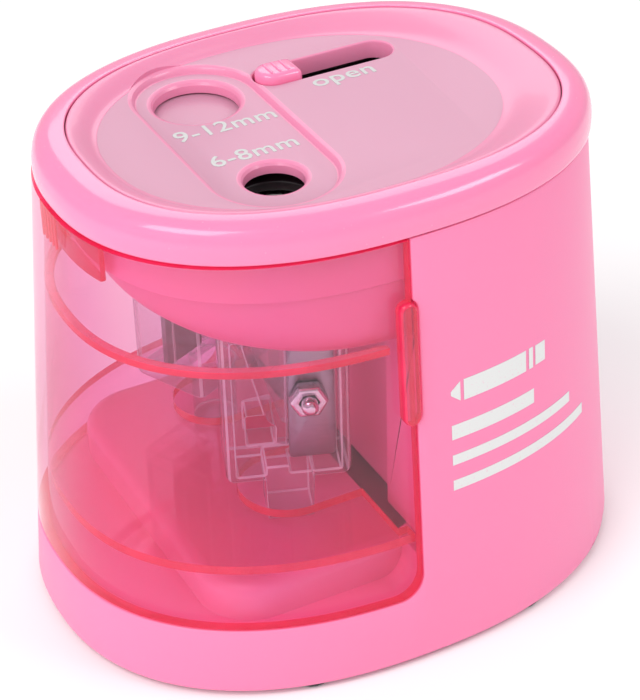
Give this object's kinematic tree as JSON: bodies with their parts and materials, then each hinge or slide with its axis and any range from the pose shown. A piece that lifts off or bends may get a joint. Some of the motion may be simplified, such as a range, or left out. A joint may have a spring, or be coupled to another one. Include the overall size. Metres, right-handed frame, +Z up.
{
  "type": "electric pencil sharpener",
  "caption": "Oval battery desk pencil sharpener with two pencil holes under a sliding shutter, clear cutter heads and a clear pink shavings drawer that pulls out.",
  "frame": {"origin": "on the table under the middle of the oval base", "axes": "+X towards the closed end that holds the motor, -X the way the drawer pulls out, -Y towards the front, +Z up"},
  "size_m": [0.092, 0.0716, 0.0774],
  "materials": {
    "pink_shell": "fine-grain moulded plastic, saturated pink",
    "pink_gloss": "polished moulded plastic, saturated pink",
    "pink_panel": "satin moulded plastic, pale pink",
    "pink_clear": "clear pink tinted plastic, polished",
    "clear": "clear plastic, polished",
    "white_gear": "off-white moulded gear plastic",
    "steel": "plated or ground steel",
    "motor_case": "plated metal can",
    "rubber": "matte dark rubber",
    "cell_wrap": "printed foil wrap on a metal can",
    "switch_black": "black moulded plastic"
  },
  "bodies": {
    "body": {"body_shell": "pink_shell", "base_plate": "pink_shell", "base_screw_1": "steel", "base_screw_2": "steel", "base_screw_3": "steel", "base_screw_4": "steel", "foot_1": "rubber", "foot_2": "rubber", "foot_3": "rubber", "foot_4": "rubber", "top_rim": "pink_gloss", "top_panel": "pink_panel", "mech_housing": "pink_shell", "gear_cover": "pink_shell", "drive_axle": "steel", "motor_can": "motor_case", "motor_cradle": "pink_shell", "bulkhead": "pink_shell", "interlock_switch": "switch_black", "battery_1": "cell_wrap", "battery_2": "cell_wrap", "battery_3": "cell_wrap", "battery_4": "cell_wrap", "battery_spring_1": "steel", "battery_spring_2": "steel", "battery_spring_3": "steel", "battery_spring_4": "steel", "contact_strip_front": "steel", "contact_strip_back": "steel"},
    "drawer": {"drawer": "pink_clear"},
    "shutter": {"shutter_plate": "pink_panel", "shutter_knob": "pink_gloss"},
    "battery_door": {"battery_door": "pink_shell"},
    "small_cutter": {"small_cutter_gear": "white_gear", "small_cutter_head": "clear", "small_blade": "steel", "small_blade_screw": "steel", "small_blade_nut": "steel"},
    "large_cutter": {"large_cutter_gear": "white_gear", "large_cutter_head": "clear", "large_blade": "steel", "large_blade_screw": "steel", "large_blade_nut": "steel"},
    "drive": {"drive_gear": "white_gear"},
    "rotor": {"motor_shaft": "steel", "motor_pinion": "steel"},
    "interlock": {"interlock_plunger": "white_gear"}
  },
  "joints": [
    {"name": "drawer_slide", "type": "slide", "parent": "body", "child": "drawer", "axis": [-1, 0, 0], "range_m": [0, 0.046]},
    {"name": "shutter_slide", "type": "slide", "parent": "body", "child": "shutter", "axis": [1, 0, 0], "range_m": [0, 0.0155]},
    {"name": "battery_door_slide", "type": "slide", "parent": "body", "child": "battery_door", "axis": [1, 0, 0], "range_m": [0, 0.06]},
    {"name": "drive_spin", "type": "hinge", "parent": "body", "child": "drive", "pos_m": [0.00472, 0.0007, 0.0571], "axis": [0, 0, 1], "continuous": true},
    {"name": "small_cutter_spin", "type": "hinge", "parent": "body", "child": "small_cutter", "pos_m": [-0.012, -0.012, 0.0531], "axis": [0, 0, 1], "continuous": true},
    {"name": "large_cutter_spin", "type": "hinge", "parent": "body", "child": "large_cutter", "pos_m": [-0.012, 0.0134, 0.0531], "axis": [0, 0, 1], "continuous": true},
    {"name": "motor_spin", "type": "hinge", "parent": "body", "child": "rotor", "pos_m": [0.01822, 0.0007, 0.0282], "axis": [0, 0, 1], "continuous": true},
    {"name": "interlock_press", "type": "slide", "parent": "body", "child": "interlock", "axis": [1, 0, 0], "range_m": [0, 0.0015], "stiffness_N_per_m": 150}
  ],
  "couplings": [
    {"joint": "small_cutter_spin", "follows": "drive_spin", "ratio": -1},
    {"joint": "large_cutter_spin", "follows": "drive_spin", "ratio": -1},
    {"joint": "motor_spin", "follows": "drive_spin", "ratio": -4.4}
  ]
}
